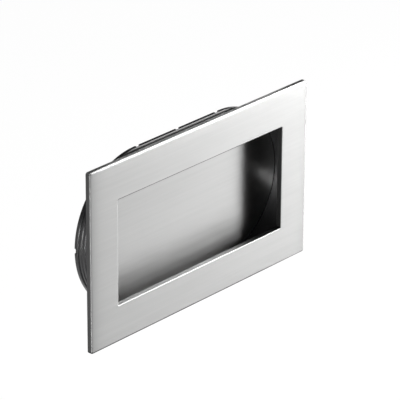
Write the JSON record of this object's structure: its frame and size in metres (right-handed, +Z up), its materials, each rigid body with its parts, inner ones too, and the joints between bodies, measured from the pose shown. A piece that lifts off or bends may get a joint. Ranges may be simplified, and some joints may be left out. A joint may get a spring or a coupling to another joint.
{
  "type": "recessed pull handle",
  "caption": "Recessed pull handle: brushed stainless cover plate with a rectangular finger opening over a round-ended dark moulded housing with grip ribs and a steel floor.",
  "frame": {"origin": "centre of the cover plate's rear face, which lies on the door, on the axis of the housing", "axes": "+X along the handle's length, +Y into the door away from the user, +Z up"},
  "size_m": [0.11, 0.0121, 0.067],
  "materials": {
    "cover_steel": "stainless steel, satin brushed along the length",
    "housing_plastic": "moulded plastic, dark grey, semi-matt",
    "floor_steel": "stainless steel, satin brushed along the length"
  },
  "bodies": {
    "root": {"face_plate": "cover_steel", "housing": "housing_plastic", "floor_plate": "floor_steel"}
  },
  "joints": []
}
